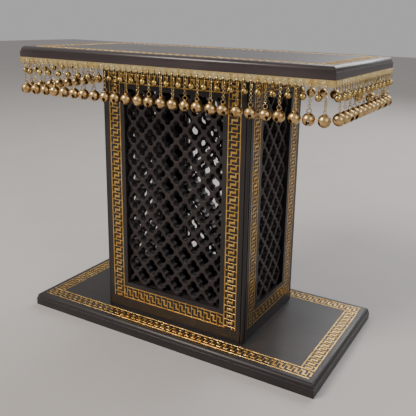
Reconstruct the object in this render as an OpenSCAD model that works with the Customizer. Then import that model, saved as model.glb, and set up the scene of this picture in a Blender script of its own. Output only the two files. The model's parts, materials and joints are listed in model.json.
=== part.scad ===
// Pedestal reading stand with carved screens, brass key bands and a fringe of bells.
// Millimetres, +Z up, origin at the centre of the underside, front towards -Y.

/* [Boards] */
// Width of the base board and of the top board
board_w = 380; // [330:5:440]
// Depth of the base board and of the top board
board_d = 190; // [180:2:230]
// Thickness of each board
board_t = 15; // [14.8:0.2:18]
// Height of the flat edge below the moulding
fascia_h = 9.6; // [8:0.2:10.4]
// Width of the small step above the flat edge
step_w = 1; // [0.6:0.2:2]
// Radius of the rounded moulding above the step
round_r = 4; // [2:0.5:4]
// Height of the whole stand
stand_h = 325; // [300:5:360]

/* [Pedestal] */
// Width of the pedestal over its corner posts
pedestal_w = 189; // [180:1:210]
// Depth of the pedestal over its corner posts
pedestal_d = 132; // [124:1:140]
// Side of each square corner post
post_s = 9; // [8:0.5:10]
// Side of the notch along the outer corner of a post
notch_s = 4.2; // [3:0.2:5]
// Radius of the bead that stands in the notch
bead_r = 2.3; // [1.5:0.1:2.5]
// Thickness of the stiles and rails
frame_t = 9; // [8:0.5:12]
// Width of the flat border between a key band and its screen
border_w = 5.5; // [4:0.5:8]

/* [Screens] */
// Thickness of each carved screen between its stiles and rails
screen_t = 8.5; // [7:0.1:9]
// Thickness of the tongue round a screen
tongue_t = 3.9; // [3:0.1:4]
// How far a screen sits behind the face of its frame
screen_set = 3.5; // [2.5:0.1:4]
// Depth of the groove that holds a screen on each edge
screen_tongue = 4.5; // [3:0.5:5]
// Half of the width of one diamond of the pattern
cell_half_w = 11.6; // [10.6:0.1:13]
// Number of half diamonds in the height of a screen
cell_rows = 18; // [16:2:18]
// Sideways shift of the pattern on the front and back screens
cell_shift = 3.9; // [-6:0.1:6]
// Radius of the left and right lobes of an opening
side_lobe_r = 4.3; // [3.6:0.1:4.8]
// Radius of the upper and lower lobes of an opening
upper_lobe_r = 3.7; // [3:0.1:4.1]

/* [Key bands] */
// Width of a key band
key_w = 15.5; // [12:0.5:16]
// Thickness of a key band, which is the depth of its groove
key_t = 0.8; // [0.5:0.1:1.2]
// Distance from a board's edge to its key bands
key_edge = 8.8; // [6:0.2:12]
// Distance from a corner post to the first key band
key_gap = 0.7; // [0.3:0.1:1.5]
// Height of the plain plinth below the pedestal's bands
plinth_h = 14.4; // [12:0.2:16]
// Height left plain above the pedestal's bands
head_h = 5.2; // [3:0.2:8]

/* [Fringe] */
// Distance between two neighbouring holes of a brass strip
hole_pitch = 7.3; // [7.3:0.1:7.4]
// Number of long pendants along the front and along the back
long_count = 26; // [20:2:26]
// Number of long pendants along each end
side_long_count = 12; // [8:2:12]
// Height of a brass strip, its leaves included
strip_h = 7.5; // [7:0.1:8]
// Thickness of a brass strip
strip_t = 0.5; // [0.3:0.1:0.6]
// How far a strip overlaps the edge of the top board
strip_lap = 3; // [2:0.5:4]
// Diameter of a large bell
bell_d = 12; // [10:0.5:12]
// Diameter of a small bell
small_bell_d = 6.6; // [5:0.2:7]
// Wall of a bell
bell_wall = 0.5; // [0.4:0.1:0.7]
// Number of round links in a long pendant
link_count = 8; // [4:2:10]

/* [Hidden] */
$fn = 48;
eps = 0.01;
pedestal_z = board_t;
top_z = stand_h - board_t;
pedestal_h = top_z - pedestal_z;
bead_in = bead_r + 0.3;
band_out_x = pedestal_w / 2 - post_s - key_gap;
band_out_y = pedestal_d / 2 - post_s - key_gap;
band_low = pedestal_z + plinth_h;
band_high = top_z - head_h;
window_x = band_out_x - key_w - border_w;
window_y = band_out_y - key_w - border_w;
window_low = band_low + key_w + border_w;
window_high = band_high - key_w - border_w;
cell_half_h = (window_high - window_low) / cell_rows;
side_lobe_x = 0.31 * cell_half_w;
upper_lobe_y = 0.43 * cell_half_h;
slot_t = tongue_t + 0.1;
// strips, pins and the line that the pendants hang from
strip_top = top_z + strip_lap;
strip_low = strip_top - strip_h;
leaf_w = 4.4;
leaf_h = 1.9;
hole_r = 0.75;
hole_z = strip_low + leaf_h + 1.2;
hang_x = board_w / 2 + strip_t / 2;
hang_y = board_d / 2 + strip_t / 2;
pin_r = 0.5;
pin_fit = 0.02;
pin_z = strip_top - 1.4;
pin_len = 6;
pin_step = 8 * hole_pitch;
wide_pins = 6;
side_pins = 3;
pin_head_r = 0.95;
pin_head_t = 0.4;
// jump rings, links and bells
wire = 0.7;
jump_len = 7.2;
jump_w = 4;
jump_z = hole_z + wire / 2 - jump_len / 2;
jump_rest = jump_z - jump_len / 2 + wire;
link_in = 1.05;
link_wire = 0.55;
link_gap = 0.12;
link_pitch = 2 * link_in - link_gap;
first_link_z = jump_rest + link_gap - link_in;
last_link_z = first_link_z - (link_count - 1) * link_pitch;
loop_in = 1.7;
loop_wire = 0.8;
loop_z = last_link_z - link_in + link_gap - loop_in;
bell_z = loop_z - loop_in - bell_d / 2;
slot_w = 2.2;
small_slot_w = 1.3;
small_loop_in = 1.15;
small_loop_wire = 0.6;
small_loop_z = jump_rest + link_gap - small_loop_in;
small_bell_z = small_loop_z - small_loop_in + 0.1 - small_bell_d / 2;
// glue blocks and their screws
block_s = 12;
block_len = 110;
block_y = pedestal_d / 2 - frame_t - block_s / 2;
screw_x = 38;
screw_r = 1.75;
screw_fit = 0.05;
head_r = 3.5;
head_t = 2.2;
base_screw_len = 24;
top_screw_len = 20;

lacquer = "#2b2324";
brass = "#c9963e";
bell_gold = "#c7a067";
steel = "#8a8d90";

// ---- boards ----

// Section of a moulded board, w wide, with its underside on y = 0
module board_section(w) {
    translate([-w / 2, 0]) square([w, fascia_h]);
    translate([-w / 2 + step_w, 0]) square([w - 2 * step_w, board_t - round_r]);
    translate([-w / 2 + step_w + round_r, 0]) square([w - 2 * (step_w + round_r), board_t]);
    for (side = [-1, 1])
        translate([side * (w / 2 - step_w - round_r), board_t - round_r]) circle(round_r);
}

// Board whose mouldings meet in mitres: the two sections run crosswise through each other
module moulded_board() {
    intersection() {
        rotate([90, 0, 0])
            linear_extrude(board_d, center = true) board_section(board_w);
        rotate([90, 0, 90])
            linear_extrude(board_w, center = true) board_section(board_d);
    }
}

// Shallow groove for the four key bands, cut from the top of a board
module board_groove() {
    w = board_w - 2 * key_edge;
    d = board_d - 2 * key_edge;
    translate([0, 0, board_t - key_t])
        linear_extrude(key_t + 1)
            difference() {
                square([w, d], center = true);
                square([w - 2 * key_w, d - 2 * key_w], center = true);
            }
}

// The four places of the screws that hold the pedestal to a board
module at_screws() {
    for (x = [-screw_x, screw_x], y = [-block_y, block_y])
        translate([x, y, 0]) children();
}

// Positions of the pins along one strip
function pin_places(count) = [for (k = [0 : count - 1]) (k - (count - 1) / 2) * pin_step];

// The place of every strip pin, with its point towards the board
module at_pins() {
    for (turn = [0, 180], x = pin_places(wide_pins))
        rotate([0, 0, turn]) translate([x, -board_d / 2, pin_z]) rotate([-90, 0, 0]) children();
    for (turn = [90, 270], x = pin_places(side_pins))
        rotate([0, 0, turn]) translate([x, -board_w / 2, pin_z]) rotate([-90, 0, 0]) children();
}

module base_board() {
    color(lacquer)
        difference() {
            moulded_board();
            board_groove();
            at_screws() {
                translate([0, 0, -1]) cylinder(r = screw_r + screw_fit, h = board_t + 2);
                translate([0, 0, -eps])
                    cylinder(r1 = head_r + screw_fit, r2 = screw_r + screw_fit, h = head_t + eps);
            }
        }
}

module top_board() {
    color(lacquer)
        difference() {
            translate([0, 0, top_z]) {
                difference() {
                    moulded_board();
                    board_groove();
                    at_screws()
                        translate([0, 0, -1])
                            cylinder(r = screw_r + screw_fit, h = 1 + top_screw_len - block_s);
                }
            }
            at_pins() translate([0, 0, -1]) cylinder(r = pin_r + pin_fit, h = pin_len + 1.2);
        }
}

// One long key band (front or back) or one short band (left or right) of a board
module board_key(turn, board_z) {
    long_band = (turn % 180 == 0);
    run = long_band ? board_w - 2 * key_edge : board_d - 2 * (key_edge + key_w);
    out = (long_band ? board_d : board_w) / 2 - key_edge;
    color(brass)
        rotate([0, 0, turn])
            translate([-run / 2, -out, board_z + board_t - key_t])
                cube([run, key_w, key_t]);
}

// ---- pedestal ----

// Post with a bead standing in the notch of its outer corner, for the corner (sx, sy)
module corner_post(sx, sy) {
    color(lacquer)
        translate([sx * pedestal_w / 2, sy * pedestal_d / 2, pedestal_z])
            linear_extrude(pedestal_h) {
                difference() {
                    translate([min(0, -sx * post_s), min(0, -sy * post_s)]) square(post_s);
                    translate([min(0, -sx * notch_s), min(0, -sy * notch_s)]) square(notch_s);
                }
                translate([-sx * bead_in, -sy * bead_in]) circle(bead_r);
            }
}

// A face of the pedestal is drawn as the front one, half_w to its posts, and then turned.
// out is the distance from the centre to the face.
module at_face(turn, out) {
    rotate([0, 0, turn]) translate([0, -out, 0]) children();
}

// Groove for the key bands of one face: a rectangle round the window
module face_groove(band_out) {
    translate([0, key_t, 0])
        rotate([90, 0, 0])
            linear_extrude(key_t + 1)
                difference() {
                    translate([-band_out, band_low])
                        square([2 * band_out, band_high - band_low]);
                    translate([-band_out + key_w, band_low + key_w])
                        square([2 * (band_out - key_w), band_high - band_low - 2 * key_w]);
                }
}

// Space that the tongue of a screen takes inside the frame of one face
module screen_slot(window) {
    translate([-window - screen_tongue, screen_set, window_low - screen_tongue])
        cube([2 * (window + screen_tongue), slot_t, window_high - window_low + 2 * screen_tongue]);
}

module stile(side, half_w, band_out, window) {
    color(lacquer)
        difference() {
            translate([side > 0 ? window : -half_w, 0, pedestal_z])
                cube([half_w - window, frame_t, pedestal_h]);
            face_groove(band_out);
            screen_slot(window);
        }
}

module rail(low, high, band_out, window) {
    color(lacquer)
        difference() {
            translate([-window, 0, low]) cube([2 * window, frame_t, high - low]);
            face_groove(band_out);
            screen_slot(window);
        }
}

// Opening of the screen: four round lobes that meet in cusps
module opening() {
    for (s = [-1, 1]) {
        translate([s * side_lobe_x, 0]) circle(side_lobe_r, $fn = 24);
        translate([0, s * upper_lobe_y]) circle(upper_lobe_r, $fn = 24);
    }
}

// Outline of a screen with its openings, reaching past the window on every side
module screen_sheet(window, shift, past) {
    reach = ceil((window + cell_half_w) / cell_half_w) + 1;
    difference() {
        translate([-window - past, window_low - past])
            square([2 * (window + past), window_high - window_low + 2 * past]);
        intersection() {
            translate([-window - 1, window_low - 1])
                square([2 * window + 2, window_high - window_low + 2]);
            for (i = [-reach : reach], j = [0 : cell_rows])
                if ((i + j) % 2 != 0)
                    translate([shift + i * cell_half_w, window_low + j * cell_half_h])
                        opening();
        }
    }
}

module screen(window, shift) {
    front = screen_set + 0.05;
    color(lacquer) {
        translate([0, front + tongue_t, 0])
            rotate([90, 0, 0])
                linear_extrude(tongue_t) screen_sheet(window, shift, screen_tongue);
        translate([0, front + screen_t, 0])
            rotate([90, 0, 0])
                linear_extrude(screen_t - tongue_t) screen_sheet(window, shift, -0.05);
    }
}

// The four key bands of one face: two uprights with two level ones between them
module face_keys(band_out) {
    color(brass) {
        for (x = [-band_out, band_out - key_w])
            translate([x, 0, band_low]) cube([key_w, key_t, band_high - band_low]);
        for (z = [band_low, band_high - key_w])
            translate([-band_out + key_w, 0, z]) cube([2 * (band_out - key_w), key_t, key_w]);
    }
}

// ---- fringe ----

// Strip with a pointed leaf between each two holes, drawn for a side that is run long
module brass_strip(run, holes, pins) {
    half = (holes - 1) / 2;
    bar_low = strip_low + leaf_h;
    color(brass)
        difference() {
            rotate([90, 0, 0])
                linear_extrude(strip_t) {
                    translate([-run / 2, bar_low]) square([run, strip_top - bar_low]);
                    for (k = [0 : holes - 2])
                        translate([(k + 0.5 - half) * hole_pitch, bar_low])
                            polygon([[-leaf_w / 2, leaf_h], [-leaf_w / 2, 0], [0, -leaf_h],
                                     [leaf_w / 2, 0], [leaf_w / 2, leaf_h]]);
                }
            for (k = [0 : holes - 1])
                translate([(k - half) * hole_pitch, 1, hole_z])
                    rotate([90, 0, 0]) cylinder(r = hole_r, h = strip_t + 2);
            for (x = pin_places(pins))
                translate([x, 1, pin_z])
                    rotate([90, 0, 0]) cylinder(r = pin_r + pin_fit, h = strip_t + 2);
        }
}

// Long jump ring standing across the strip, in the plane of Y and Z
module jump_ring() {
    straight = jump_len - jump_w;
    translate([-wire / 2, 0, jump_z])
        rotate([90, 0, 90])
            linear_extrude(wire)
                difference() {
                    union() {
                        square([jump_w, straight], center = true);
                        for (s = [-1, 1]) translate([0, s * straight / 2]) circle(jump_w / 2);
                    }
                    square([jump_w - 2 * wire, straight], center = true);
                    for (s = [-1, 1])
                        translate([0, s * straight / 2]) circle(jump_w / 2 - wire);
                }
}

// Flat round ring about the Y axis
module round_ring(inner, thick) {
    rotate([90, 0, 0])
        difference() {
            cylinder(r = inner + thick, h = thick, center = true);
            cylinder(r = inner, h = thick + 1, center = true);
        }
}

// Hollow bell with its loop on top, a slot across its underside and a loose ball inside
module bell(d, loop_inner, loop_thick, loop_up, slot) {
    r = d / 2;
    slot_top = -0.34 * r;
    ball_r = 0.28 * r;
    difference() {
        union() {
            sphere(r);
            translate([0, 0, loop_up]) round_ring(loop_inner, loop_thick);
        }
        sphere(r - bell_wall);
        translate([-slot / 2, -r - 1, -r - 1]) cube([slot, 2 * r + 2, r + 1 + slot_top]);
        translate([0, 0, slot_top])
            rotate([90, 0, 0]) cylinder(d = slot, h = 2 * r + 2, center = true);
    }
    translate([0, 0, -r + bell_wall + ball_r + 0.05]) sphere(ball_r);
}

module long_chains(count) {
    color(bell_gold)
        for (k = [0 : count - 1])
            translate([(k - (count - 1) / 2) * 2 * hole_pitch, 0, 0]) {
                jump_ring();
                for (n = [0 : link_count - 1])
                    translate([0, 0, first_link_z - n * link_pitch])
                        rotate([0, 0, n % 2 * 90]) round_ring(link_in, link_wire);
            }
}

module long_bells(count) {
    color(bell_gold)
        for (k = [0 : count - 1])
            translate([(k - (count - 1) / 2) * 2 * hole_pitch, 0, bell_z])
                bell(bell_d, loop_in, loop_wire, loop_z - bell_z, slot_w);
}

module short_pendants(count) {
    color(bell_gold)
        for (k = [0 : count - 1])
            translate([(k - (count - 1) / 2) * 2 * hole_pitch, 0, 0]) {
                jump_ring();
                translate([0, 0, small_bell_z])
                    bell(small_bell_d, small_loop_in, small_loop_wire,
                         small_loop_z - small_bell_z, small_slot_w);
            }
}

// ---- hidden fixings ----

module block(z) {
    for (y = [-block_y, block_y])
        translate([-block_len / 2, y - block_s / 2, z]) cube([block_len, block_s, block_s]);
}

module base_blocks() {
    color("burlywood")
        difference() {
            block(pedestal_z);
            at_screws()
                translate([0, 0, pedestal_z - 1])
                    cylinder(r = screw_r + screw_fit, h = 1 + base_screw_len - board_t + 0.5);
        }
}

module top_blocks() {
    color("burlywood")
        difference() {
            block(top_z - block_s);
            at_screws() {
                translate([0, 0, top_z - block_s - 1])
                    cylinder(r = screw_r + screw_fit, h = block_s + 2);
                translate([0, 0, top_z - block_s - eps])
                    cylinder(r1 = head_r + screw_fit, r2 = screw_r + screw_fit, h = head_t + eps);
            }
        }
}

// Countersunk screw standing on its head
module screw(length) {
    cylinder(r1 = head_r, r2 = screw_r, h = head_t);
    translate([0, 0, head_t]) cylinder(r = screw_r, h = length - head_t);
}

module base_screws() {
    color(steel) at_screws() screw(base_screw_len);
}

module top_screws() {
    color(steel) at_screws() translate([0, 0, top_z - block_s]) screw(top_screw_len - 0.5);
}

module strip_pins() {
    color(brass)
        at_pins() {
            translate([0, 0, -strip_t]) cylinder(r = pin_r, h = pin_len + strip_t);
            translate([0, 0, -strip_t - pin_head_t])
                cylinder(r1 = 0.6 * pin_head_r, r2 = pin_head_r, h = pin_head_t);
        }
}

// ---- drawing ----

// The four faces of the pedestal and the four sides of the top board, by turn and distance
module front_face() { at_face(0, pedestal_d / 2) children(); }
module back_face() { at_face(180, pedestal_d / 2) children(); }
module left_face() { at_face(270, pedestal_w / 2) children(); }
module right_face() { at_face(90, pedestal_w / 2) children(); }

module wide_stile(side) { stile(side, pedestal_w / 2 - post_s, band_out_x, window_x); }
module side_stile(side) { stile(side, pedestal_d / 2 - post_s, band_out_y, window_y); }
module wide_rail(low, high) { rail(low, high, band_out_x, window_x); }
module side_rail(low, high) { rail(low, high, band_out_y, window_y); }
module wide_strip() { brass_strip(board_w, 2 * long_count - 1, wide_pins); }
module side_strip() { brass_strip(board_d, 2 * side_long_count + 1, side_pins); }

base_board();
top_board();
board_key(0, 0);  // base_key_front
board_key(180, 0);  // base_key_back
board_key(270, 0);  // base_key_left
board_key(90, 0);  // base_key_right
board_key(0, top_z);  // top_key_front
board_key(180, top_z);  // top_key_back
board_key(270, top_z);  // top_key_left
board_key(90, top_z);  // top_key_right
corner_post(-1, -1);  // corner_post_front_left
corner_post(1, -1);  // corner_post_front_right
corner_post(-1, 1);  // corner_post_back_left
corner_post(1, 1);  // corner_post_back_right
front_face() wide_stile(-1);  // front_stile_left
front_face() wide_stile(1);  // front_stile_right
back_face() wide_stile(1);  // back_stile_left
back_face() wide_stile(-1);  // back_stile_right
left_face() side_stile(1);  // left_stile_front
left_face() side_stile(-1);  // left_stile_back
right_face() side_stile(-1);  // right_stile_front
right_face() side_stile(1);  // right_stile_back
front_face() wide_rail(pedestal_z, window_low);  // front_rail_bottom
front_face() wide_rail(window_high, top_z);  // front_rail_top
back_face() wide_rail(pedestal_z, window_low);  // back_rail_bottom
back_face() wide_rail(window_high, top_z);  // back_rail_top
left_face() side_rail(pedestal_z, window_low);  // left_rail_bottom
left_face() side_rail(window_high, top_z);  // left_rail_top
right_face() side_rail(pedestal_z, window_low);  // right_rail_bottom
right_face() side_rail(window_high, top_z);  // right_rail_top
front_face() screen(window_x, cell_shift);  // screen_front
back_face() screen(window_x, cell_shift);  // screen_back
left_face() screen(window_y, 0);  // screen_left
right_face() screen(window_y, 0);  // screen_right
front_face() face_keys(band_out_x);  // pedestal_key_front
back_face() face_keys(band_out_x);  // pedestal_key_back
left_face() face_keys(band_out_y);  // pedestal_key_left
right_face() face_keys(band_out_y);  // pedestal_key_right
at_face(0, board_d / 2) wide_strip();  // brass_strip_front
at_face(180, board_d / 2) wide_strip();  // brass_strip_back
at_face(270, board_w / 2) side_strip();  // brass_strip_left
at_face(90, board_w / 2) side_strip();  // brass_strip_right
at_face(0, hang_y) long_chains(long_count);  // long_chains_front
at_face(180, hang_y) long_chains(long_count);  // long_chains_back
at_face(270, hang_x) long_chains(side_long_count);  // long_chains_left
at_face(90, hang_x) long_chains(side_long_count);  // long_chains_right
at_face(0, hang_y) long_bells(long_count);  // long_bells_front
at_face(180, hang_y) long_bells(long_count);  // long_bells_back
at_face(270, hang_x) long_bells(side_long_count);  // long_bells_left
at_face(90, hang_x) long_bells(side_long_count);  // long_bells_right
at_face(0, hang_y) short_pendants(long_count - 1);  // short_pendants_front
at_face(180, hang_y) short_pendants(long_count - 1);  // short_pendants_back
at_face(270, hang_x) short_pendants(side_long_count + 1);  // short_pendants_left
at_face(90, hang_x) short_pendants(side_long_count + 1);  // short_pendants_right
base_blocks();
top_blocks();
base_screws();
top_screws();
strip_pins();
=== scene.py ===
import math
import json

import bmesh
import bpy
from mathutils import Matrix, Vector


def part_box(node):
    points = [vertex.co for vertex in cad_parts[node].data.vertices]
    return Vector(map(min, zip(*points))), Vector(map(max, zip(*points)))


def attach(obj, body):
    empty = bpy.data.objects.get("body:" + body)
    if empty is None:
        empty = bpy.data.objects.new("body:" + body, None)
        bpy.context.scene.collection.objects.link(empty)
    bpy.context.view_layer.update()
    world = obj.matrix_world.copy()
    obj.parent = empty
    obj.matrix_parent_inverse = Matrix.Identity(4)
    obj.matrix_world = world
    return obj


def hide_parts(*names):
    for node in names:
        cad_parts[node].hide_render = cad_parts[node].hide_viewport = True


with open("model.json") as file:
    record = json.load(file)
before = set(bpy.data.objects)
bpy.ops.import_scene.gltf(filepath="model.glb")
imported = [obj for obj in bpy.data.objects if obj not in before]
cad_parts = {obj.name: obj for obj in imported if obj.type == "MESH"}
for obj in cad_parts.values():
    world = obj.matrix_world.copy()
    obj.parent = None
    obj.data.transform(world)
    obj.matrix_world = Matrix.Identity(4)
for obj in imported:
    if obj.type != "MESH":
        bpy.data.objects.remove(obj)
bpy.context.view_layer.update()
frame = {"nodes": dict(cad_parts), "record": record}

mm = 0.001
sides = {"front": 0, "right": 90, "back": 180, "left": 270}  # each side is the front one, turned


# small helpers

def linearColor(hexCode):
    # sRGB hex to the linear colour that the shaders take
    parts = [int(hexCode[i:i + 2], 16) / 255 for i in (1, 3, 5)]
    return [c / 12.92 if c <= 0.04045 else ((c + 0.055) / 1.055) ** 2.4 for c in parts] + [1.0]


def addNode(tree, kind, links=None, **settings):
    # a node with its settings; links maps an input to a value, a socket or another node's first output
    node = tree.nodes.new(kind)
    for name, value in settings.items():
        setattr(node, name, value)
    for key, value in (links or {}).items():
        if isinstance(value, bpy.types.Node):
            value = value.outputs[0]
        if isinstance(value, bpy.types.NodeSocket):
            tree.links.new(value, node.inputs[key])
        else:
            node.inputs[key].default_value = value
    return node


def newMaterial(name):
    material = bpy.data.materials.new(name)
    material.use_nodes = True
    material.node_tree.nodes.clear()
    return material, material.node_tree


def newTree(name, sockets):
    # a geometry tree with named inputs; sockets maps a name to a socket type
    tree = bpy.data.node_groups.new(name, "GeometryNodeTree")
    for label, kind in sockets.items():
        tree.interface.new_socket(label, in_out="INPUT", socket_type=kind)
    tree.interface.new_socket("Geometry", in_out="OUTPUT", socket_type="NodeSocketGeometry")
    return tree, tree.nodes.new("NodeGroupInput").outputs


def finishTree(tree, geometry, material):
    real = addNode(tree, "GeometryNodeRealizeInstances", {0: geometry})
    painted = addNode(tree, "GeometryNodeSetMaterial", {"Geometry": real, "Material": material})
    addNode(tree, "NodeGroupOutput", {0: painted})


def grow(tree, values):
    # runs a tree once and gives back its result as a plain mesh
    holder = bpy.data.objects.new("holder", bpy.data.meshes.new("holder"))
    bpy.context.scene.collection.objects.link(holder)
    modifier = holder.modifiers.new("grow", "NODES")
    modifier.node_group = tree
    names = {item.name: item.identifier for item in tree.interface.items_tree if item.in_out == "INPUT"}
    for label, value in values.items():
        modifier[names[label]] = value
    graph = bpy.context.evaluated_depsgraph_get()
    mesh = bpy.data.meshes.new_from_object(holder.evaluated_get(graph))
    bpy.data.objects.remove(holder)
    mesh.materials.clear()
    mesh.materials.append(values["Material"])
    mesh.polygons.foreach_set("material_index", [0] * len(mesh.polygons))
    return mesh


def joinMeshes(name, parts):
    # parts are (mesh, matrix) pairs; the result has the first mesh's materials
    whole = bmesh.new()
    for mesh, matrix in parts:
        copy = mesh.copy()
        copy.transform(matrix)
        whole.from_mesh(copy)
        bpy.data.meshes.remove(copy)
    joined = bpy.data.meshes.new(name)
    whole.to_mesh(joined)
    whole.free()
    for material in parts[0][0].materials:
        joined.materials.append(material)
    return joined


def makePiece(name, mesh, body, slot, *nodes):
    piece = bpy.data.objects.new(name, mesh)
    bpy.context.scene.collection.objects.link(piece)
    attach(piece, body)
    if nodes:
        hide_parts(*nodes)
    return piece


def sideTurn(side):
    return Matrix.Rotation(math.radians(sides[side]), 4, "Z")


def sideBox(node, side):
    # a CAD node's box in its own side's frame, as if that side were the front
    back = sideTurn(side).inverted()
    ends = [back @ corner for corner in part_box(node)]
    low = Vector(map(min, *ends))
    high = Vector(map(max, *ends))
    return low, high


def trimMesh(mesh, planes, softEdge=0):
    # cuts away what lies beyond each (point, outward direction), closes the cuts and softens the edges
    work = bmesh.new()
    work.from_mesh(mesh)
    bmesh.ops.remove_doubles(work, verts=work.verts, dist=0.003 * mm)
    for point, outward in planes:
        everything = work.verts[:] + work.edges[:] + work.faces[:]
        bmesh.ops.bisect_plane(work, geom=everything, dist=0.0005 * mm, plane_co=point, plane_no=outward,
                               clear_outer=True)
    bmesh.ops.holes_fill(work, edges=[e for e in work.edges if e.is_boundary], sides=0)
    bmesh.ops.recalc_face_normals(work, faces=work.faces)
    if softEdge:
        sharp = [e for e in work.edges if len(e.link_faces) == 2 and e.calc_face_angle() > math.radians(40)]
        bmesh.ops.bevel(work, geom=sharp, offset=softEdge, segments=1, profile=0.5, affect="EDGES",
                        clamp_overlap=True)
    work.to_mesh(mesh)
    work.free()


# camera

view = {
    "place": (0.3548, -0.5737, 0.3620),  # metres
    "turn": 28.44,    # degrees to the left of the depth axis
    "tilt": 15.26,    # degrees down
    "roll": 1.59,
    "lens": 50.43,    # mm on a 36 mm sensor
    "shiftX": -0.0662,
    "shiftY": -0.0741,
}

turn, tilt, roll = (math.radians(view[k]) for k in ("turn", "tilt", "roll"))
forward = Vector((-math.sin(turn) * math.cos(tilt), math.cos(turn) * math.cos(tilt), -math.sin(tilt)))
level = Vector((math.cos(turn), math.sin(turn), 0))
above = level.cross(forward)
right = level * math.cos(roll) + above * math.sin(roll)
up = above * math.cos(roll) - level * math.sin(roll)
cameraData = bpy.data.cameras.new("camera")
cameraData.lens = view["lens"]
cameraData.sensor_width = 36
cameraData.shift_x, cameraData.shift_y = view["shiftX"], view["shiftY"]
cameraData.clip_start, cameraData.clip_end = 0.02, 20
camera = bpy.data.objects.new("camera", cameraData)
axes = Matrix((right, up, -forward)).transposed().to_4x4()
camera.matrix_world = Matrix.Translation(view["place"]) @ axes
bpy.context.scene.collection.objects.link(camera)
bpy.context.scene.camera = camera
print("camera set")


# light and floor

studio = {
    "world": "#e2e1e1",
    "worldStrength": 0.58,
    "floorDark": "#b5b0ad", "floorLight": "#bfbab7",
    "floorReach": 6.0,  # metres from the middle to each edge
    # name: place in metres, size in metres, power in watts, colour
    "lamps": {
        "keyLamp": ((-0.9, -1.3, 1.5), 0.8, 36, "#fff6ea"),
        "sideLamp": ((1.5, -0.7, 0.9), 0.9, 7, "#eef3ff"),
        "backLamp": ((0.2, 1.5, 1.3), 1.4, 20, "#ffffff"),
    },
}

world = bpy.data.worlds.new("studio")
world.use_nodes = True
worldTree = world.node_tree
worldTree.nodes.clear()
skyColor = addNode(worldTree, "ShaderNodeBackground",
                   {"Color": linearColor(studio["world"]), "Strength": studio["worldStrength"]})
addNode(worldTree, "ShaderNodeOutputWorld", {"Surface": skyColor})
bpy.context.scene.world = world

for lampName, (place, size, power, tint) in studio["lamps"].items():
    lampData = bpy.data.lights.new(lampName, "AREA")
    lampData.shape = "DISK"
    lampData.size = size
    lampData.energy = power
    lampData.color = linearColor(tint)[:3]
    lamp = bpy.data.objects.new(lampName, lampData)
    aim = Vector((0, 0, 0.17)) - Vector(place)
    lamp.matrix_world = Matrix.Translation(place) @ aim.to_track_quat("-Z", "Y").to_matrix().to_4x4()
    bpy.context.scene.collection.objects.link(lamp)

floorMaterial, tree = newMaterial("matt pale floor")
coords = addNode(tree, "ShaderNodeTexCoord")
cloud = addNode(tree, "ShaderNodeTexNoise", {"Vector": coords.outputs["Object"], "Scale": 9.0, "Detail": 4.0})
shade = addNode(tree, "ShaderNodeMix", {0: cloud, 6: linearColor(studio["floorDark"]),
                                        7: linearColor(studio["floorLight"])}, data_type="RGBA")
coat = addNode(tree, "ShaderNodeBsdfPrincipled", {"Base Color": shade.outputs[2], "Roughness": 0.7})
addNode(tree, "ShaderNodeOutputMaterial", {"Surface": coat})
floorMesh = bpy.data.meshes.new("floor")
reach = studio["floorReach"]
floorMesh.from_pydata([(-reach, -reach, 0), (reach, -reach, 0), (reach, reach, 0), (-reach, reach, 0)],
                      [], [(0, 1, 2, 3)])
floorMesh.materials.append(floorMaterial)
floor = bpy.data.objects.new("floor", floorMesh)
bpy.context.scene.collection.objects.link(floor)
print("light and floor set")


# materials

def lacquerMaterial(name, dark, light, streak, roughLow=0.30, roughHigh=0.42, coatWeight=0.25):
    # Satin nitro lacquer sprayed over sanded board: near black brown, a soft sheen, faint lengthwise
    # streaks from the sanding under it, a fine orange peel and a little lighter grey in random patches.
    material, tree = newMaterial(name)
    coords = addNode(tree, "ShaderNodeTexCoord").outputs["Object"]
    along = addNode(tree, "ShaderNodeMapping", {"Vector": coords, "Scale": streak})
    grain = addNode(tree, "ShaderNodeTexNoise", {
        "Vector": along, "Scale": 1.0, "Detail": 5.0, "Roughness": 0.65})
    patch = addNode(tree, "ShaderNodeTexNoise", {"Vector": coords, "Scale": 14.0, "Detail": 3.0})
    mixed = addNode(tree, "ShaderNodeMath", {0: grain, 1: patch}, operation="MULTIPLY")
    tone = addNode(tree, "ShaderNodeMapRange", {0: mixed, 1: 0.14, 2: 0.38, 3: 0.0, 4: 1.0})
    color = addNode(tree, "ShaderNodeMix", {0: tone, 6: linearColor(dark), 7: linearColor(light)},
                    data_type="RGBA")
    rough = addNode(tree, "ShaderNodeMapRange", {0: patch, 1: 0.3, 2: 0.7, 3: roughLow, 4: roughHigh})
    peel = addNode(tree, "ShaderNodeTexNoise", {"Vector": coords, "Scale": 900.0, "Detail": 2.0})
    uneven = addNode(tree, "ShaderNodeMath", {0: peel, 1: grain}, operation="ADD")
    bump = addNode(tree, "ShaderNodeBump", {"Height": uneven, "Strength": 0.10, "Distance": 0.0002})
    shader = addNode(tree, "ShaderNodeBsdfPrincipled",
                     {"Base Color": color.outputs[2], "Roughness": rough, "Normal": bump, "IOR": 1.5,
                      "Coat Weight": coatWeight, "Coat Roughness": 0.2})
    addNode(tree, "ShaderNodeOutputMaterial", {"Surface": shader})
    return material


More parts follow.
